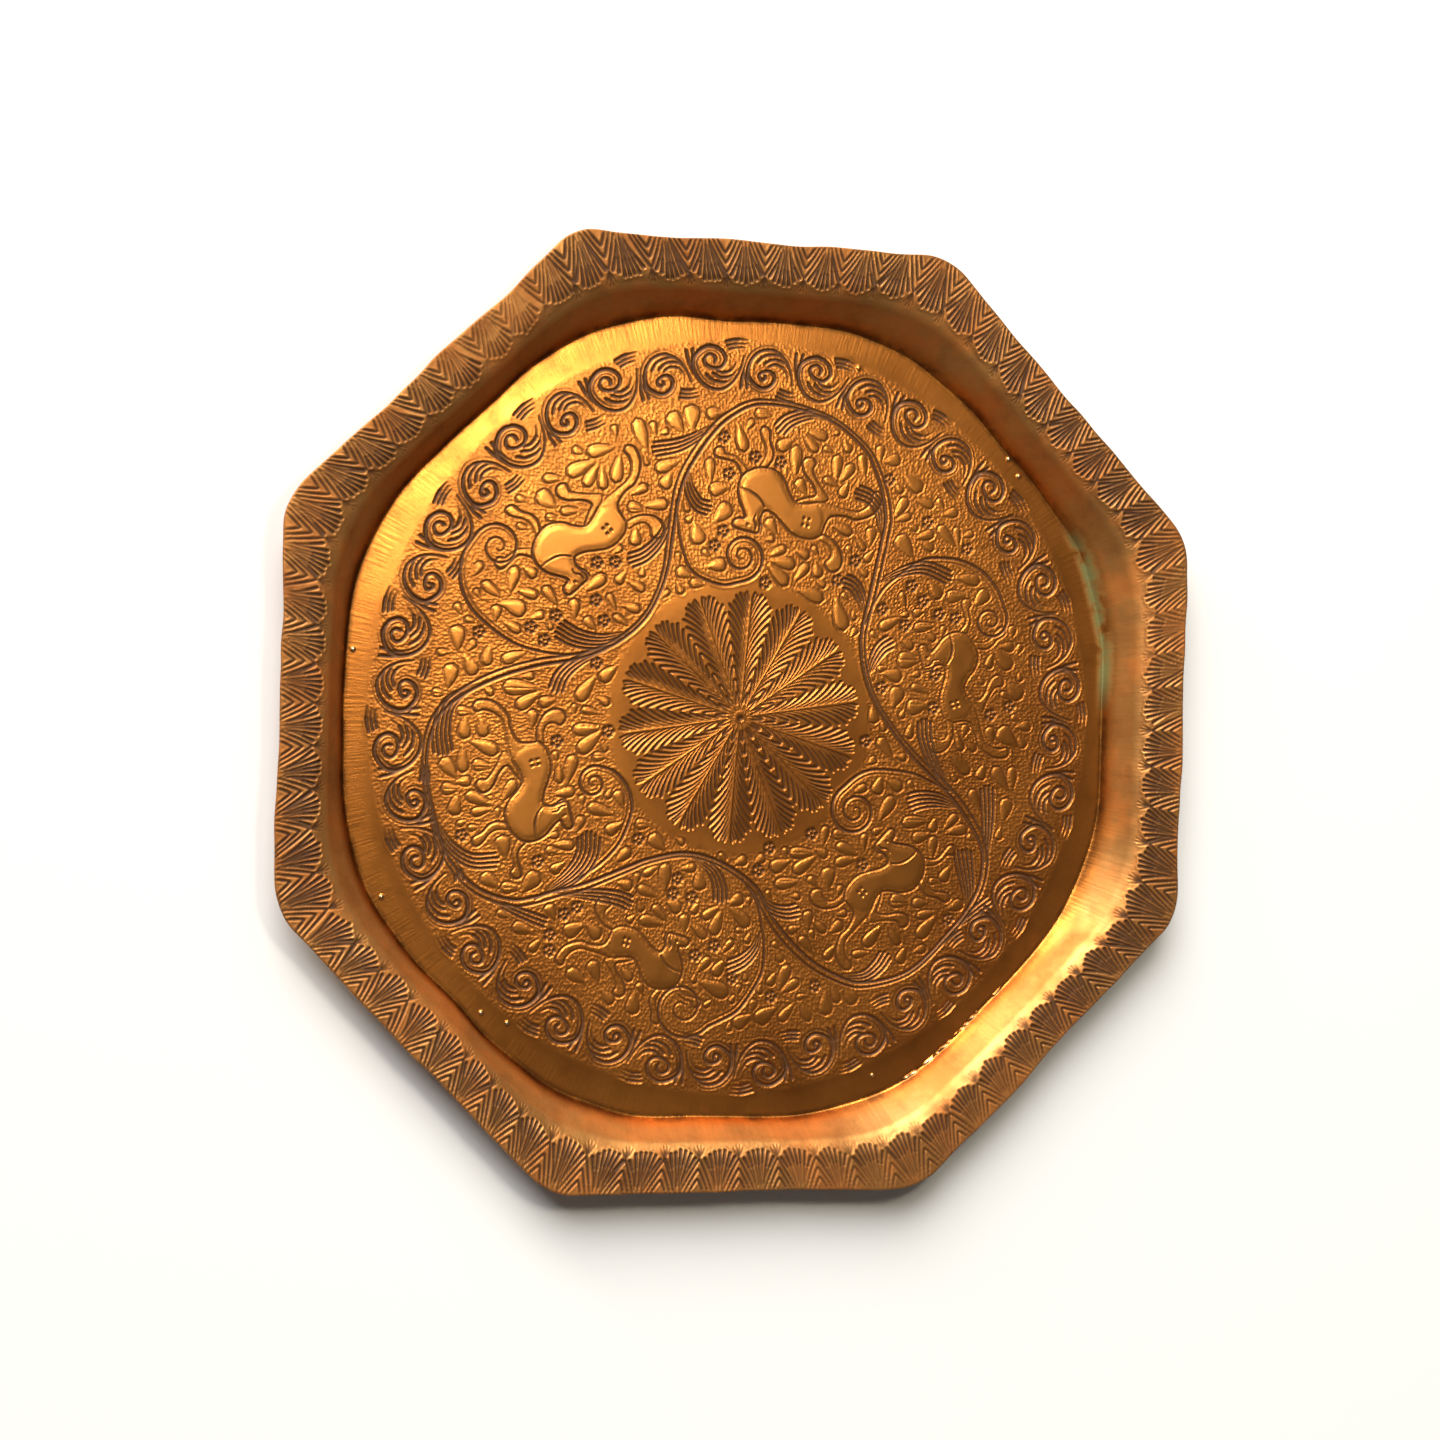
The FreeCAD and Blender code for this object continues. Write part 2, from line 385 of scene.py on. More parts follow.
# One animal, its head to the right and its feet down: closed shapes that are beaten up from below.
BODY = [(-11, 9.1), (-7.9, 11.5), (-3.7, 12.1), (-0.1, 11.5), (3.5, 9.4), (7.1, 7), (10.7, 6),
        (12, 8.5), (11.9, 13.9), (14.9, 14.4), (20.3, 14.2), (21.4, 12.7), (20.3, 10.9),
        (17.6, 10), (19.4, 6.7), (21, 4.3), (22, 1.3), (21.9, -2.3), (20.7, -4.8), (18.5, -6.6),
        (16.1, -7.8), (11.9, -8.4), (8.9, -7.5), (5.9, -5.1), (4.1, -2.3), (1.1, 0.6), (-2.5, 0.4),
        (-6.7, -1.1), (-9.8, 0.5), (-11.3, 4.9)]
LIMBS = [
    [(-10.7, 8.5), (-11.3, 4.9), (-12.8, 2.5), (-17.6, 1.3), (-21.2, 1.6), (-24.8, 0.1),
     (-27.8, -2.3), (-29.3, -5.4), (-29.6, -8.1), (-27.8, -9.9), (-26, -9), (-26, -6.6),
     (-24.8, -4.2), (-23, -2.3), (-20, -1.1), (-11, -1.4), (-6.7, -1.1)],
    [(-11, 9.1), (-14.6, 10), (-17.6, 12.1), (-19.4, 14.5), (-20, 17.2), (-19.1, 19.9), (-17, 21.1),
     (-15.2, 20.5), (-14, 18.4), (-15.4, 16.3), (-15.5, 14), (-13.5, 12.3), (-9.5, 11.4)],
    [(0.8, 0.1), (-2.5, -1.7), (-5.5, -3.3), (-3.7, -6.6), (-0.7, -9), (1.1, -11.4), (1.4, -13.8),
     (-0.1, -15.3), (-2.2, -15.3), (-3.4, -13.8), (-2.8, -11.4), (-6, -7.4), (-9.2, -4.6),
     (-10.4, -2.9), (-7.2, -0.9)],
    [(13.7, -8.2), (12.2, -11.4), (12.5, -14.4), (14.3, -17.4), (15.3, -21), (17.9, -21.6),
     (18.5, -19.8), (17.3, -17.4), (15.5, -15), (14.9, -12), (16.1, -8.2)],
    [(21.9, -3.6), (23.4, -6), (25.8, -7.5), (31.8, -7.5), (33, -9), (32.1, -11.1), (30, -11.1),
     (28.9, -9.6), (25.2, -9.3), (22.8, -8.4), (20, -6)]]
NECK_LINES = [
    [(11, 14.2), (11, 11.5), (12.2, 9.7), (11.9, 7.6), (10.7, 6.4)],
    [(13.1, 13.3), (13.1, 11.5), (14.3, 10), (14, 8.2)],
    [(11.6, 4.9), (13.1, 3.1), (15.5, 1.6), (19.1, 0.7), (21.9, 0.7)]]
DOT = round_punch(0.6)
RUMP = (-4.0, 6.5)
EYE = (16.2, 12.0)

# Where the rump and the eye of each animal are, and how much of it is left after years of polishing.
ANIMALS = [((-50.0, 63.5), (-61.1, 45.0), 1.0), ((22.3, 69.2), (0.8, 67.6), 1.0),
           ((80.7, 6.7), (69.7, 23.1), 0.7), ((47.3, -60.8), (56.2, -42.8), 0.85),
           ((-39.1, -78.7), (-20.7, -78.7), 0.85), ((-73.4, -17.5), (-62.5, -35.4), 1.0)]


def placed_animal(rump, eye):
    """A function that takes places on the drawn animal to places on the tray."""
    turn = (complex(*eye) - complex(*rump)) / (complex(*EYE) - complex(*RUMP))

    def place(points):
        spots = complex(*rump) + turn * (np.asarray(points) @ [1, 1j] - complex(*RUMP))
        return np.stack([spots.real, spots.imag], 1)

    return place


def draw_animal(plate, rump, eye, freshness):
    place = placed_animal(rump, eye)
    for limb in LIMBS:
        plate.swell(smooth_line(place(limb), 0.8, closed=True), LIMB_HEIGHT * freshness, 1.6)
        plate.carve(smooth_line(place(limb), 0.8), 0.95, 0.42 * freshness, ends=(0.9, 0.6))
    plate.swell(smooth_line(place(BODY), 0.9, closed=True), BODY_HEIGHT * freshness, 3.0)
    outline = smooth_line(place(BODY[:-2]), 0.8)
    plate.carve(outline, 1.0, 0.46 * freshness, ends=(0.8, 0.8))
    for line in NECK_LINES:
        plate.carve(smooth_line(place(line), 0.7), 0.8, ends=(0.8, 0.6))
    plate.stamp(place([EYE])[0], 0.7, DOT, 0.4)
    for across in (-0.9, 0.9):
        for up in (-1.2, 1.0):
            plate.stamp(place([(RUMP[0] + across, RUMP[1] + up)])[0], 0.7, DOT, 0.45)


# ---- the flowers and petals between


def petal(root, heading, length, width):
    """A teardrop outline that is pointed at its root."""
    t = np.concatenate([np.linspace(0.02, 1, 12), np.linspace(1, 0.02, 12)[1:]])
    side = np.concatenate([np.ones(12), -np.ones(11)])
    half = side * width / 2 * PETAL_FULLNESS * t ** 0.9 * np.sqrt(np.clip(1 - t ** 3, 0, 1))
    along = direction(heading)
    return root + np.outer(t * length, along) + np.outer(half, left_of(along))


def flower(distance, angle):
    """A small punched flower: a dot in a ring of five petals."""
    ring = np.clip(1 - ((distance - 1.6) / 0.75) ** 2, 0, 1) * (0.6 + 0.4 * np.cos(5 * angle))
    return np.maximum(ring, DOT(distance, angle))


def draw_free_petal(plate, root, heading, length, width):
    """A petal, if there is room for it."""
    space = petal(root + 0.3 * direction(heading), heading, length * 1.04, width * 1.1)
    middle = root + np.outer(np.linspace(0.2, 1, 6) * length, direction(heading))
    reach = np.hypot(space[:, 0], space[:, 1])
    if reach.min() < FIELD[0] or reach.max() > FIELD[1] + 4:
        return
    if not plate.is_clear(np.vstack([space, middle])):
        return
    outline = petal(root, heading, length, width)
    plate.swell(outline, PETAL_HEIGHT, 1.9)
    plate.carve(outline[2:21], 0.85, 0.36, ends=(0.4, 0.7))


def random_place():
    reach = math.sqrt(chance.uniform(FIELD[0] ** 2, FIELD[1] ** 2))
    return reach * direction(chance.uniform(0, math.tau)), chance.uniform(0, math.tau)


def draw_flowers(plate, count):
    around = np.array([direction(angle) for angle in np.linspace(0, math.tau, 9)])
    for _ in range(count):
        centre, turn = random_place()
        if plate.is_clear(np.vstack([centre + 1.2 * around, centre + 2.7 * around])):
            plate.stamp(centre, 2.6, flower, 0.62)


def draw_sprays(plate, count, length):
    """Fans of long petals that spring from one point."""
    for _ in range(count):
        root, heading = random_place()
        for number in range(-2, 3):
            size = length * chance.uniform(0.85, 1.15) * (1 - 0.06 * number ** 2)
            turn = heading + 0.6 * number
            draw_free_petal(plate, root + 1.2 * direction(turn), turn, size, 0.5 * size)


def draw_petals(plate, count, shortest, longest):
    for _ in range(count):
        root, heading = random_place()
        length = chance.uniform(shortest, longest)
        draw_free_petal(plate, root, heading, length, length * chance.uniform(0.62, 0.8))


# ---- the rosette

FRONDS = 14
HUB = (0.3, -0.5)


def draw_rosette(plate):
    """Fronds that meet side by side: a rib each, with barbs that slant outwards from it."""
    half = math.pi / FRONDS
    wide = math.tan(half)
    t = np.linspace(0, 1, 16)
    for frond in range(FRONDS):
        along = direction((frond + 0.35) * 2 * half)
        across = left_of(along)
        for side in (-1, 1):
            rib = np.outer(2.2 + 39 * t, along) + side * np.outer(0.3 + 0.35 * t, across)
            plate.carve(rib, 0.5, 0.25, ends=(0.7, 0.4), lip=0.3)
            for start in np.arange(2.0, ROSETTE - 3.0, 2.75):
                length = 13.5 + 0.08 * start
                out = start + length * t * (1 - 0.12 * t)
                off = 0.6 + length * t * (0.2 + 0.36 * t)
                tip = ROSETTE + 0.5 - 7.0 * (off / (ROSETTE * wide)) ** 2
                keep = (off < out * wide - 0.15) & (np.hypot(out, off) < tip)
                if keep.sum() > 2:
                    barb = np.outer(out, along) + side * np.outer(off, across)
                    plate.carve(barb[keep], 1.05, 0.4, ends=(0.4, 1.05), lip=0.2)
    plate.stamp(HUB, 1.4, round_punch(1.2), 0.5)


# ---- the border of scrolls

BORDER_REPEATS = 20
VOLUTE = [(-9.7, -2), (-8, 3.3), (-5.3, 7.3), (-1.3, 9.7), (3.3, 9), (6.7, 6), (8.3, 2), (8, -1.3),
          (5.3, -4), (2, -5.1), (-1.3, -3.7), (-2.7, -0.7), (-1.3, 1.7), (1.3, 2), (3.7, 0.7),
          (4, -1), (2.3, -2.3), (0.9, -1.3), (1.1, 0.1)]
BORDER_LINES = [
    [(-7.4, 0.2), (-5.4, 3.2), (-2.3, 4.3), (0.2, 3.4)],
    [(-8, 2.7), (-5.3, 5.3), (-1.3, 6), (1.7, 4.2)],
    [(-7, 5.0), (-3.3, 7.6), (1.7, 7), (4.4, 4.4)],
    [(-11.3, 0.7), (-10.9, 5.3), (-11.4, 9.7)],
    [(-10.3, 0.7), (-9.3, 5.3), (-8.9, 9.7)],
    [(-11.7, -7.6), (-7.5, -7.7), (-3.7, -7.0)],
    [(-11.2, -6.2), (-7.5, -6.3), (-4.2, -5.6)],
    [(-10.7, -4.8), (-7.5, -4.9), (-4.9, -4.3)]]


def border_place(points, centre, face, size):
    """Places on the tray of a motif's points: along its circle, and outwards or inwards as it faces."""
    along, out = np.transpose(points) * size
    angle = centre + along / BORDER_MIDDLE
    reach = BORDER_MIDDLE + (0 if face > 0 else 4.5) + face * out
    return polar(reach, angle)


def draw_border(plate):
    """Scrolls that face out and in by turns, round the tray."""
    for motif in range(2 * BORDER_REPEATS):
        centre = (motif + 0.62) * math.pi / BORDER_REPEATS
        face = 1 if motif % 2 else -1
        size = chance.uniform(0.95, 1.03)
        volute = smooth_line(border_place(VOLUTE, centre, face, size), 0.7)
        plate.carve(beside(volute, 0.45), 1.8, 0.68, ends=(0.5, 0.8))
        plate.carve(beside(volute, -1.0), 0.95, 0.42, ends=(0.3, 0.4))
        for line in BORDER_LINES:
            stroke = smooth_line(border_place(line, centre, face, size), 0.8)
            plate.carve(stroke, 1.4, 0.55, ends=(0.3, 0.9))


# ---- the fans on the rim

FANS = 72


def share_of_outline(reach, corner):
    """Angles round an outline, and the share of its length that lies before each."""
    angle = np.linspace(0, math.tau, 5761)
    steps = np.diff(polar(rounded_octagon(angle, reach, corner), angle), axis=0)
    share = np.concatenate([[0], np.cumsum(np.hypot(steps[:, 0], steps[:, 1]))])
    return angle, share / share[-1]


OUTER_SHARE = share_of_outline(EDGE, EDGE_CORNER)
INNER_SHARE = share_of_outline(EDGE - FAN_DEPTH, MOUTH_CORNER)

# How long the rim's edge is: an octagon's, less what its rounded corners cut off.
SHARP = SIDES * 2 * math.tan(TURN / 2)
EDGE_LENGTH = SHARP * EDGE - (SHARP - math.tau) * EDGE_CORNER


def rim_place(share, depth):
    """Places on the rim: how far round, from 0 to 1, and how far in from the edge."""
    share = np.asarray(share, float)
    depth = np.asarray(depth, float)
    inward = np.clip(depth / FAN_DEPTH, 0, 1.2)
    turns = np.floor(share)
    outer = np.interp(share - turns, OUTER_SHARE[1], OUTER_SHARE[0])
    inner = np.interp(share - turns, INNER_SHARE[1], INNER_SHARE[0])
    angle = outer + inward * (inner - outer) + turns * math.tau
    corner = EDGE_CORNER + inward * (MOUTH_CORNER - EDGE_CORNER)
    return polar(rounded_octagon(angle, EDGE - depth, corner), angle)


def draw_fan(plate, middle, kept):
    """Strokes that start together near the edge and spread inwards."""
    t = np.linspace(0, 1, 9)
    lean = chance.uniform(-0.5, 0.5)
    for stroke in range(-3, 4):
        side = stroke / 3 * 6.0 + lean
        start = 0.9 + (1.6 if stroke % 2 else 0.0) + 0.3 * abs(stroke)
        reach = FAN_DEPTH + 0.9 - 0.27 * stroke ** 2 + chance.uniform(-0.5, 0.5)
        across = 0.6 * stroke * (1 - t) + side * t ** 1.3
        line = rim_place(middle + across / EDGE_LENGTH, start + (reach - start) * t)
        plate.carve(line, 1.1, 0.6 * kept, ends=(0.35, 1.25), lip=2.2)


def draw_between_fans(plate, middle, kept):
    """Pointed marks inside each other, open to the edge, and a tuft of strokes at their tip."""
    t = np.linspace(0, 1, 9)
    for apex, half_width in ((12.0, 6.2), (8.6, 4.6), (5.2, 2.9)):
        for side in (-1, 1):
            across = side * (0.1 + half_width * t ** 0.85)
            line = rim_place(middle + across / EDGE_LENGTH, apex - (apex - 0.2) * t)
            plate.carve(line, 1.1, 0.58 * kept, ends=(0.9, 0.6), lip=2.2)
    for side in (-2.0, -0.7, 0.7, 2.0):
        line = rim_place(middle + side * t / EDGE_LENGTH, 12.3 + (4.6 - 0.25 * side ** 2) * t)
        plate.carve(line, 0.85, 0.45 * kept, ends=(0.7, 0.6))


def draw_rim(plate):
    """Fans all round the rim, a little uneven, and more worn in some places than in others."""
    for fan in range(FANS):
        middle = (fan + 0.5 + chance.uniform(-0.07, 0.07)) / FANS
        kept = np.clip(0.8 + 0.35 * around_tray(math.tau * middle, 90, 36), 0.4, 1)
        draw_fan(plate, middle, kept)
        draw_between_fans(plate, middle + 0.5 / FANS, kept)


# Specks of solder or old drips near the crease, which the copper paints pale as glints (painted
# highlight): degrees round the tray and distance from the middle.
SPECKS = [(41, 136.5), (44, 137.5), (72, 131), (172, 139), (207, 141), (229, 137), (233, 134),
          (293, 137)]

# The stretch of the crease, in degrees round the tray, that has a broken row of specks.
SPECK_ROW = (297, 317)
SPECKS_IN_ROW = 36


def draw_specks(plate):
    """Small beads on the floor, and a broken row of them along one stretch of the crease."""
    beads = [(math.radians(angle), reach, 0.9, 0.8) for angle, reach in SPECKS]
    for angle in np.radians(chance.uniform(*SPECK_ROW, SPECKS_IN_ROW)):
        reach = float(floor_reach(angle)) - 0.3 + chance.uniform(-0.25, 0.25)
        beads.append((angle, reach, chance.uniform(0.7, 2.0), 0.38))
    around = np.linspace(0, math.tau, 13)
    for angle, reach, long, wide in beads:
        out = direction(angle)
        bead = reach * out + np.outer(long * np.cos(around), left_of(out))
        bead = bead + np.outer(wide * np.sin(around), out)
        plate.swell(bead, 0.4, 0.5)


# ---- the relief as a whole


def matting(plate):
    """The punched ground between the motifs: small pits, close together."""
    size = 512
    shift = chance.uniform(0.12, 0.88, (2, size, size)).astype(np.float32)
    x = np.broadcast_to(plate.axis[None, :], plate.cut.shape)
    y = np.broadcast_to(plate.axis[:, None], plate.cut.shape)
    column = np.floor(x / PIT_PITCH).astype(int)
    row = np.floor(y / PIT_PITCH).astype(int)
    gap = np.full(plate.cut.shape, 1e6, np.float32)
    for right in (-1, 0, 1):
        for up in (-1, 0, 1):
            cell = ((row + up) % size, (column + right) % size)
            near_x = (column + right + shift[0][cell]) * PIT_PITCH
            near_y = (row + up + shift[1][cell]) * PIT_PITCH
            gap = np.minimum(gap, np.hypot(x - near_x, y - near_y))
    return np.clip(1 - (gap / (0.45 * PIT_PITCH)) ** 2, 0, 1)


def draw_ornament():
    """The finished relief, and how cut, raised and matted the sheet is at each place of the plan."""
    plate = Plate()
    draw_vine(plate)
    for line, strokes in LEAVES:
        draw_leaf(plate, line, strokes)
    for rump, eye, freshness in ANIMALS:
        draw_animal(plate, rump, eye, freshness)
    draw_rosette(plate)
    draw_border(plate)
    draw_sprays(plate, 60, 13.0)
    draw_flowers(plate, 130)
    draw_sprays(plate, 200, 11.0)
    draw_petals(plate, 4000, 8.5, 11.0)
    draw_flowers(plate, 500)
    draw_petals(plate, 5000, 6.5, 8.5)
    draw_petals(plate, 7000, 4.2, 6.5)
    draw_rim(plate)
    draw_specks(plate)
    reach = np.hypot(plate.axis[None, :], plate.axis[:, None])
    zone = np.clip((reach - FIELD[0]) / 3, 0, 1) * np.clip((BORDER_END - reach) / 1.5, 0, 1)
    busy = np.maximum(plate.cut / 0.15, plate.rise / 0.12)
    ground = zone * np.clip(1 - busy, 0, 1)
    relief = plate.rise + plate.lip - plate.cut - PIT_DEPTH * ground * matting(plate)
    return plate, {
        "relief": blurred(relief, 0.11, plate.pitch),
        "ghost": 0.4 * blurred(relief, 0.8, plate.pitch),
        "chased": blurred(plate.cut / LINE_DEPTH, 0.12, plate.pitch),
        "raised": blurred(np.clip(plate.rise / PETAL_HEIGHT, 0, 1.5), 0.3, plate.pitch),
        "ground": blurred(ground, 0.3, plate.pitch)}


# ---- the skins of the sheet

COLUMNS = 2400
TOP_STEP = 0.37
RIM_STEP = 0.4
UNDER_STEP = 0.9
CREASE_START = FLOOR - 1.0

# The ornament's marks, and how much of each shows on the underside.
UNDERSIDE_SHOWS = {"chased": 0.25, "raised": 0.0, "ground": 0.0}

# The floor keeps to its plan out to the first distance, and follows the uneven crease beyond.
# Its rise fades away between the other two.
TRUE_FLOOR = 110.0
RISE_END = (122.0, 136.0)


def bent_path(corners, radii, step):
    """Places along a section of straight runs, with an arc at each corner, and its left normals."""
    corners = [complex(*corner) for corner in corners]
    runs = [corners[0]]
    for before, corner, after, radius in zip(corners, corners[1:], corners[2:], radii):
        into = (corner - before) / abs(corner - before)
        away = (after - corner) / abs(after - corner)
        turn = math.atan2((away / into).imag, (away / into).real)
        setback = radius * math.tan(abs(turn) / 2)
        start = corner - into * setback
        middle = start + into * 1j * math.copysign(radius, turn)
        for angle in turn * np.linspace(0, 1, max(3, int(abs(turn) * radius / step) + 2)):
            runs.append(middle + (start - middle) * complex(math.cos(angle), math.sin(angle)))
    runs.append(corners[-1])
    path = [runs[0]]
    for start, end in zip(runs, runs[1:]):
        count = max(1, int(round(abs(end - start) / step)))
        path += [start + (end - start) * (number + 1) / count for number in range(count)]
    heading = np.gradient(path)
    return np.array(path), 1j * heading / np.abs(heading)


def spread(nominal, angle):
    """The real distance from the middle of a place on the section, at each angle round the tray."""
    crease = floor_reach(angle)
    mouth = mouth_reach(angle)
    edge = edge_reach(angle)
    on_floor, on_wall, on_rim = [
        np.clip((nominal - start) / (end - start), 0, 1)
        for start, end in ((TRUE_FLOOR, FLOOR), (FLOOR, MOUTH), (MOUTH, EDGE))]
    out = np.minimum(nominal, TRUE_FLOOR) + on_floor * (crease - TRUE_FLOOR)
    return out + on_wall * (mouth - crease) + on_rim * (edge - mouth)


def ease(value):
    value = np.clip(value, 0, 1)
    return value * value * (3 - 2 * value)


def hammering(nominal, x, y, angle):
    """How the whole sheet strays from its true section: a rise on the floor, a droop on the rim."""
    on_floor = 1 - ease((nominal - RISE_END[0]) / (RISE_END[1] - RISE_END[0]))
    waves = 0.5 + 0.5 * np.clip(ripples(x, y, 95, 31), -1, 1)
    floor_swell = on_floor * (FLOOR_LIFT + FLOOR_HOLLOW * waves)
    past_floor = ease((nominal - FLOOR) / (MOUTH + 4 - FLOOR))
    inward = np.clip((EDGE - nominal) / (EDGE - MOUTH), 0, 1)
    droop = 0.1 + 0.3 * (0.5 + 0.5 * np.clip(around_tray(angle, 150, 32), -1, 1)) + 1.2 * inward
    dents = 0.07 * np.clip(ripples(x, y, 18, 33), -1, 1) + 0.07
    return floor_swell - past_floor * (droop + dents)


def wall_dents(nominal, x, y):
    """Hammer marks on the wall, square to it."""
    on_wall = ease((nominal - FLOOR) / 2.5) * ease((MOUTH + 3 - nominal) / 3)
    return on_wall * (0.15 * ripples(x, y, 24, 34) + 0.035 * ripples(x, y, 8, 35))


def columns_at(nominal):
    """How many places round the tray a ring has: fewer near the middle."""
    columns = COLUMNS
    while columns > 75 and nominal < 70 * columns / COLUMNS:
        columns //= 2
    return columns


def ring_faces(counts):
    """Squares between rings of places, each with a triangle beside it where the rings double."""
    starts = np.concatenate([[0], np.cumsum(counts)])
    squares = []
    triangles = [np.zeros((0, 3), int)]
    for inner, outer, low_start, high_start in zip(counts, counts[1:], starts, starts[1:]):
        number = np.arange(inner)
        following = (number + 1) % inner
        low = low_start + number
        low_next = low_start + following
        high = high_start + outer // inner * number
        high_next = high_start + outer // inner * following
        if outer > inner:
            triangles.append(np.stack([low, high, high + 1], 1))
            high = high + 1
        squares.append(np.stack([low, high, high_next, low_next], 1))
    return [np.vstack(squares), np.vstack(triangles)]


def lay_skin(name, path, normal, counts, plate, relief, underneath=False):
    """A skin of the sheet: a ring of places for each place of the section, from the inside outwards."""
    nominal = np.repeat(path.real, counts)
    height = np.repeat(path.imag, counts)
    out = np.repeat(normal.real, counts)
    up = np.repeat(normal.imag, counts)
    angle = np.concatenate([np.arange(count) * math.tau / count for count in counts])
    reach = spread(nominal, angle)
    x, y = polar(reach, angle).T
    worked = plate.at(relief["ghost" if underneath else "relief"], x, y)
    worked = worked * ease((EDGE - 0.4 - nominal) / 0.6) + wall_dents(nominal, x, y)
    reach = reach + out * worked
    height = height + up * worked + hammering(nominal, x, y, angle)
    points = np.column_stack([polar(reach, angle), height])
    points[:, :2] = np.clip(points[:, :2], -EDGE, EDGE)
    points[:, 2] = np.clip(points[:, 2], 0, RIM_TOP)
    faces = ring_faces(counts)
    if path.real[0] < 1:
        faces.append(np.arange(counts[0])[None, :])
    if underneath:
        faces = [group[:, ::-1] for group in faces]
    marks = {label: plate.at(relief[label], x, y) * (share if underneath else 1.0)
             for label, share in UNDERSIDE_SHOWS.items()}
    return make_mesh(name, points, faces, {**marks, "section": nominal / EDGE})


def add_object(name, data):
    item = bpy.data.objects.new(name, data)
    bpy.context.scene.collection.objects.link(item)
    return item


def make_mesh(name, points, faces, marks):
    """A mesh object from places in millimetres, groups of faces, and values kept at the places."""
    mesh = bpy.data.meshes.new(name)
    loops = np.concatenate([group.ravel() for group in faces])
    sizes = np.concatenate([np.full(len(group), group.shape[1]) for group in faces])
    mesh.vertices.add(len(points))
    mesh.vertices.foreach_set("co", (points * MM).astype(np.float32).ravel())
    mesh.loops.add(len(loops))
    mesh.loops.foreach_set("vertex_index", loops.astype(np.int32))
    mesh.polygons.add(len(sizes))
    mesh.polygons.foreach_set("loop_start", (np.cumsum(sizes) - sizes).astype(np.int32))
    mesh.update(calc_edges=True)
    mesh.validate()
    mesh.polygons.foreach_set("use_smooth", np.ones(len(mesh.polygons), bool))
    for label, values in marks.items():
        layer = mesh.attributes.new(label, "FLOAT", "POINT")
        layer.data.foreach_set("value", values.astype(np.float32))
    return add_object(name, mesh)


def floor_section():
    """The upper face of the floor: places along it, its normals, and how many places go round."""
    rings = np.append(np.arange(0.5, CREASE_START - TOP_STEP / 2, TOP_STEP), CREASE_START)
    return rings + 1j * SHEET, np.full(len(rings), 1j), [columns_at(ring) for ring in rings]


def rim_section():
    """The upper face from the crease up the wall and over the rim, and the cut edge."""
    path, normal = bent_path(
        [(CREASE_START, SHEET), (FLOOR, SHEET), (MOUTH, RIM_TOP), (EDGE, RIM_TOP),
         (EDGE, RIM_TOP - SHEET), (EDGE - SHEET, RIM_TOP - SHEET)],
        [CREASE_RADIUS, SHOULDER_RADIUS, 0.3, 0.3], RIM_STEP)
    return path, normal, [COLUMNS] * len(path)


def under_section():
    """The lower face, from the middle to just inside the rim's edge, where it meets the rim's skin."""
    wall_angle = math.atan2(RIM_TOP - SHEET, MOUTH - FLOOR)
    outset = SHEET * math.tan(wall_angle / 2)
    rings = np.arange(0.5, CREASE_START, UNDER_STEP)
    outer_path, outer_normal = bent_path(
        [(CREASE_START + 0.2, 0), (FLOOR + outset, 0), (MOUTH + outset, RIM_TOP - SHEET),
         (EDGE - SHEET, RIM_TOP - SHEET)],
        [CREASE_RADIUS + SHEET, SHOULDER_RADIUS - SHEET], UNDER_STEP)
    path = np.concatenate([rings + 0j, outer_path])
    normal = np.concatenate([np.full(len(rings), 1j), outer_normal])
    counts = [min(columns_at(place), COLUMNS // 2) for place in path.real]
    counts[-3:] = [COLUMNS] * 3
    return path, normal, counts


def build_tray():
    """The floor, the wall and rim, and the underside of the one sheet."""
    plate, relief = draw_ornament()
    return (lay_skin("tray_floor", *floor_section(), plate, relief),
            lay_skin("tray_rim", *rim_section(), plate, relief),
            lay_skin("tray_underside", *under_section(), plate, relief, underneath=True))


# ---- the copper


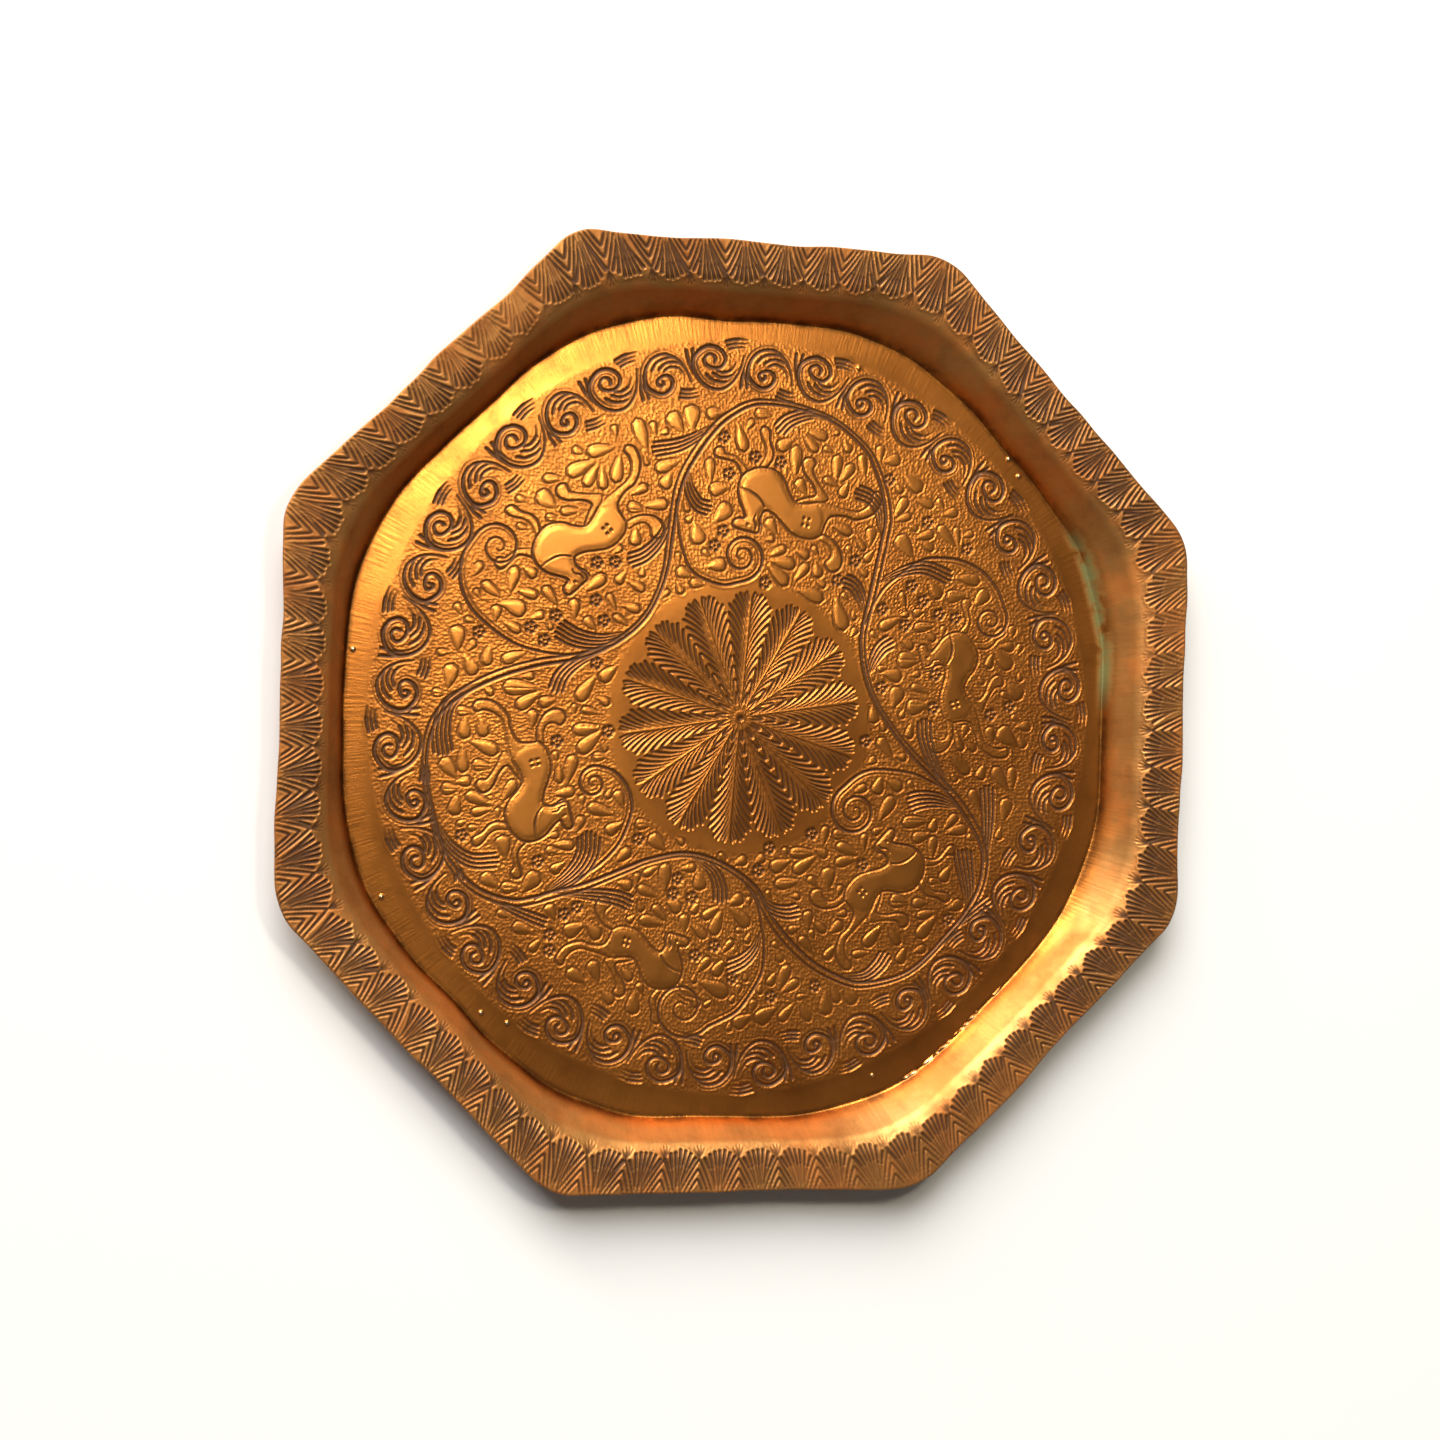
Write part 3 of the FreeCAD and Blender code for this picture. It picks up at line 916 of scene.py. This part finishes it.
class Shader:
    """A material's nodes, added and joined by short calls."""

    def __init__(self, name):
        self.material = bpy.data.materials.new(name)
        self.material.use_nodes = True
        self.nodes = self.material.node_tree.nodes
        self.links = self.material.node_tree.links
        self.surface = self.nodes["Principled BSDF"]

    def add(self, kind, **inputs):
        node = self.nodes.new(kind)
        for label, value in inputs.items():
            self.put(node.inputs[label.replace("_", " ")], value)
        return node

    def put(self, socket, value):
        """A socket takes another node's output, or a constant."""
        if isinstance(value, bpy.types.NodeSocket):
            self.links.new(value, socket)
        else:
            socket.default_value = value

    def mark(self, name):
        node = self.nodes.new("ShaderNodeAttribute")
        node.attribute_name = name
        return node.outputs["Fac"]

    def math(self, operation, first, second=0.0, third=0.0):
        node = self.nodes.new("ShaderNodeMath")
        node.operation = operation
        for socket, value in zip(node.inputs, (first, second, third)):
            self.put(socket, value)
        return node.outputs[0]

    def times(self, first, second):
        return self.math("MULTIPLY", first, second)

    def noise(self, place, size, detail=3.0, roughness=0.55):
        """Noise whose patches are about the given size in metres, from 0 to 1."""
        node = self.add("ShaderNodeTexNoise", Vector=place, Scale=1 / size, Detail=detail,
                        Roughness=roughness)
        return node.outputs["Fac"]

    def between(self, value, low, high):
        """0 below low and 1 above high, smoothly."""
        node = self.add("ShaderNodeMapRange", Value=value)
        node.interpolation_type = "SMOOTHSTEP"
        self.put(node.inputs["From Min"], low)
        self.put(node.inputs["From Max"], high)
        return node.outputs["Result"]

    def before(self, value, low, high):
        """1 below low and 0 above high, smoothly."""
        return self.math("SUBTRACT", 1.0, self.between(value, low, high))

    def tint(self, tone, colour, place, strength):
        """The tone with some of a colour laid over a place."""
        return self.blend(self.times(place, strength), tone, colour)

    def blend(self, share, first, second):
        """From the first colour to the second; either is a colour or another node's output."""
        node = self.nodes.new("ShaderNodeMix")
        node.data_type = "RGBA"
        self.put(node.inputs[0], share)
        for socket, value in ((node.inputs[6], first), (node.inputs[7], second)):
            self.put(socket, value if isinstance(value, bpy.types.NodeSocket) else (*value, 1.0))
        return node.outputs[2]


BRIGHT = (0.80, 0.29, 0.055)
MELLOW = (0.60, 0.205, 0.038)
BROWN = (0.30, 0.105, 0.026)
TARNISH = (0.075, 0.03, 0.011)
UMBER = (0.58, 0.29, 0.09)
RUST = (0.62, 0.21, 0.045)
# A pale solder colour, also used to paint glints on the beads by the crease (painted highlight).
SOLDER_AND_GLINT = (0.80, 0.64, 0.42)
GOLDEN = (0.86, 0.35, 0.075)
VERDIGRIS = (0.20, 0.24, 0.09)

# Where each zone of the tray starts, softly, as shares of the half width of the rim.
ROSETTE_END = (0.25, 0.28)
BORDER_START = (0.655, 0.685)
PLAIN_START = (0.79, 0.815)
WALL_START = (0.845, 0.87)
RIM_START = (0.875, 0.93)
FANS_START = (0.93, 0.95)


class Copper(Shader):
    """Old copper, with the patches that its colour, its gloss and its texture share."""

    def __init__(self, name, age):
        super().__init__(name)
        self.age = age
        self.place = self.add("ShaderNodeTexCoord").outputs["Object"]
        self.chased = self.mark("chased")
        self.raised = self.mark("raised")
        self.ground = self.mark("ground")
        self.section = self.mark("section")
        self.clouds = self.noise(self.place, 0.06, 4.0, 0.6)
        self.mottle = self.noise(self.place, 0.011, 5.0, 0.65)
        self.patches = self.between(self.noise(self.place, 0.02, 3.0, 0.6), 0.42, 0.62)
        self.on_wall = self.between(self.section, *WALL_START)
        self.from_crease = self.math("ABSOLUTE", self.math("SUBTRACT", self.section, FLOOR / EDGE))
        split = self.add("ShaderNodeSeparateXYZ", Vector=self.place)
        self.turn = self.math("ARCTAN2", split.outputs["Y"], split.outputs["X"])
        self.green = self.green_patch()

    def green_patch(self):
        """Verdigris along one stretch of the crease, on the side of +X."""
        stretch = self.times(self.between(self.turn, 0.0, 0.15), self.before(self.turn, 0.42, 0.6))
        grown = self.times(stretch, self.before(self.from_crease, 0.004, 0.022))
        return self.times(grown, self.between(self.mottle, 0.35, 0.55))

    def metal_tone(self):
        """Bright to mellow in clouds, and the wall from umber to rust in patches."""
        tone = self.blend(self.between(self.clouds, 0.35, 0.68), BRIGHT, MELLOW)
        return self.tint(tone, self.tint(UMBER, RUST, self.patches, 0.7), self.on_wall, 0.8)

    def browned(self, tone):
        """Brown where it is seldom rubbed: the rim, the border, the matted ground and the rosette."""
        aged = self.math("ADD", self.between(self.mottle, 0.42, 0.78), self.age)
        aged = self.math("MULTIPLY_ADD", self.between(self.section, *RIM_START), 0.8, aged)
        tone = self.tint(tone, BROWN, aged, 0.55)
        in_border = self.times(self.between(self.section, *BORDER_START),
                               self.before(self.section, *PLAIN_START))
        stain = self.times(in_border, self.between(self.clouds, 0.3, 0.6))
        tone = self.tint(tone, BROWN, stain, 0.28)
        tone = self.tint(tone, BROWN, self.ground, 0.22)
        return self.tint(tone, BROWN, self.before(self.section, *ROSETTE_END), 0.3)

    def worked(self, tone):
        """Golden on the raised shapes, and dark in the chased lines."""
        tone = self.tint(tone, GOLDEN, self.between(self.raised, 0.1, 0.9), 0.3)
        return self.tint(tone, TARNISH, self.between(self.chased, 0.02, 0.65), 0.92)

    def soiled_and_glinting(self, tone):
        """Dirt and verdigris in the crease, and the beads by it painted a pale solder colour as glints
        (painted highlight).
        """
        dirt = self.times(self.before(self.from_crease, 0.002, 0.012),
                          self.between(self.mottle, 0.3, 0.6))
        tone = self.tint(tone, TARNISH, dirt, 0.7)
        tone = self.tint(tone, VERDIGRIS, self.green, 0.75)
        # Painted highlight: the raised beads past the crease are painted a pale solder colour, as
        # glints.
        solder_glint_mask = self.times(self.between(self.section, 0.785, 0.79), self.between(self.raised, 0.5, 1.2))
        return self.blend(solder_glint_mask, tone, SOLDER_AND_GLINT)

    def shine(self):
        """How metallic it is: less in the chased lines, on the wall and under the verdigris."""
        dull = self.times(self.between(self.chased, 0.05, 0.9), 0.5)
        dull = self.math("MAXIMUM", dull, self.times(self.green, 0.6))
        dull = self.math("MAXIMUM", dull, self.times(self.on_wall, 0.22))
        return self.math("SUBTRACT", 1.0, dull)

    def roughness(self):
        rough = self.math("MULTIPLY_ADD", self.mottle, 0.2, 0.22 + 0.1 * self.age)
        for place, more in ((self.times(self.on_wall, self.patches), 0.14), (self.on_wall, 0.08),
                            (self.ground, 0.07), (self.math("MINIMUM", self.chased, 1.0), 0.22)):
            rough = self.math("MULTIPLY_ADD", place, more, rough)
        return rough

    def scratches(self):
        """A fine grain all over, and long fine scratches that run outwards on the plain band."""
        grain = self.noise(self.place, 0.0016, 3.0)
        drawn_out = self.add("ShaderNodeCombineXYZ", X=self.times(self.turn, 0.14),
                             Y=self.times(self.section, 0.012))
        streaks = self.noise(drawn_out.outputs[0], 0.0011, 3.0)
        plain = self.times(self.between(self.section, *PLAIN_START),
                           self.before(self.section, *FANS_START))
        height = self.math("MULTIPLY_ADD", self.times(plain, streaks), 1.6, self.times(grain, 0.5))
        bump = self.add("ShaderNodeBump", Height=height, Strength=0.35, Distance=0.00012)
        return bump.outputs["Normal"]


def copper(name, age=0.0):
    """A copper material; age browns it and dulls it all over."""
    shader = Copper(name, age)
    tone = shader.soiled_and_glinting(shader.worked(shader.browned(shader.metal_tone())))
    for label, value in (("Base Color", tone), ("Metallic", shader.shine()),
                         ("Roughness", shader.roughness()), ("Normal", shader.scratches())):
        shader.put(shader.surface.inputs[label], value)
    return shader.material


# ---- the room, the lights and the camera


def build_stage():
    """A wide pale floor, a hair below the tray."""
    mesh = bpy.data.meshes.new("studio_floor")
    reach = 25.0
    drop = -0.05 * MM
    signs = ((-1, -1), (1, -1), (1, 1), (-1, 1))
    mesh.from_pydata([(x * reach, y * reach, drop) for x, y in signs], [], [(0, 1, 2, 3)])
    paint = bpy.data.materials.new("pale_floor")
    paint.use_nodes = True
    surface = paint.node_tree.nodes["Principled BSDF"]
    surface.inputs["Base Color"].default_value = (0.86, 0.86, 0.86, 1.0)
    surface.inputs["Roughness"].default_value = 0.9
    mesh.materials.append(paint)
    return add_object("studio_floor", mesh)


def toward(azimuth, elevation):
    """The direction at an azimuth from +X and an elevation, both in degrees."""
    turn = math.radians(azimuth)
    rise = math.radians(elevation)
    return Vector((math.cos(rise) * math.cos(turn), math.cos(rise) * math.sin(turn), math.sin(rise)))


def area_light(name, azimuth, elevation, distance, size, power, colour, target=(0, 0, 0)):
    """A soft square light that looks at a place on the tray."""
    light = bpy.data.lights.new(name, "AREA")
    light.size = size
    light.energy = power
    light.color = colour
    lamp = add_object(name, light)
    away = toward(azimuth, elevation)
    lamp.location = Vector(target) + distance * away
    lamp.rotation_euler = away.to_track_quat("Z", "Y").to_euler()


def light_room():
    """A dim sky, three soft lamps for the copper, and a wide soft sun for the pale floor."""
    world = bpy.data.worlds.new("studio")
    world.use_nodes = True
    sky = world.node_tree.nodes["Background"]
    sky.inputs["Color"].default_value = (1.0, 0.92, 0.80, 1.0)
    sky.inputs["Strength"].default_value = 0.09
    bpy.context.scene.world = world
    bpy.context.scene.view_settings.view_transform = "Standard"
    area_light("key", 47, 76.7, 0.82, 0.12, 1.75, (1.0, 0.91, 0.72), (-0.088, 0.088, 0))
    area_light("window", 131, 13, 1.3, 0.25, 6.6, (1.0, 0.82, 0.56))
    area_light("fill", 76, 32, 1.4, 0.6, 2.9, (1.0, 0.88, 0.66))
    sun = bpy.data.lights.new("daylight", "SUN")
    sun.energy = 4.5
    sun.angle = math.radians(45)
    sun.color = (1.0, 0.985, 0.96)
    lamp = add_object("daylight", sun)
    lamp.rotation_euler = toward(113, 38).to_track_quat("Z", "Y").to_euler()


def place_camera():
    """The camera looks down on the tray from the left, a little turned about its own line of sight."""
    lens = bpy.data.cameras.new("camera")
    lens.sensor_width = 36.0
    lens.lens = 77.65
    target = Vector((-0.0069, -0.0012, 0.0))
    distance = 1.0867
    roll = math.radians(1.67)
    away = toward(178.84, 72.24)
    level = Vector((0, 1, 0)).cross(away).normalized()
    upright = away.cross(level)
    right = math.cos(roll) * level + math.sin(roll) * upright
    up = math.cos(roll) * upright - math.sin(roll) * level
    turned = Matrix((right, up, away)).transposed().to_4x4()
    camera = add_object("camera", lens)
    camera.matrix_world = Matrix.Translation(target + distance * away) @ turned
    bpy.context.scene.camera = camera


worked_copper = copper("worked_copper")
plain_copper = copper("plain_copper", 0.35)
for skin, finish in zip(build_tray(), (worked_copper, worked_copper, plain_copper)):
    skin.data.materials.append(finish)
    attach(skin, "root")
    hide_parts("tray_sheet")
build_stage()
light_room()
place_camera()
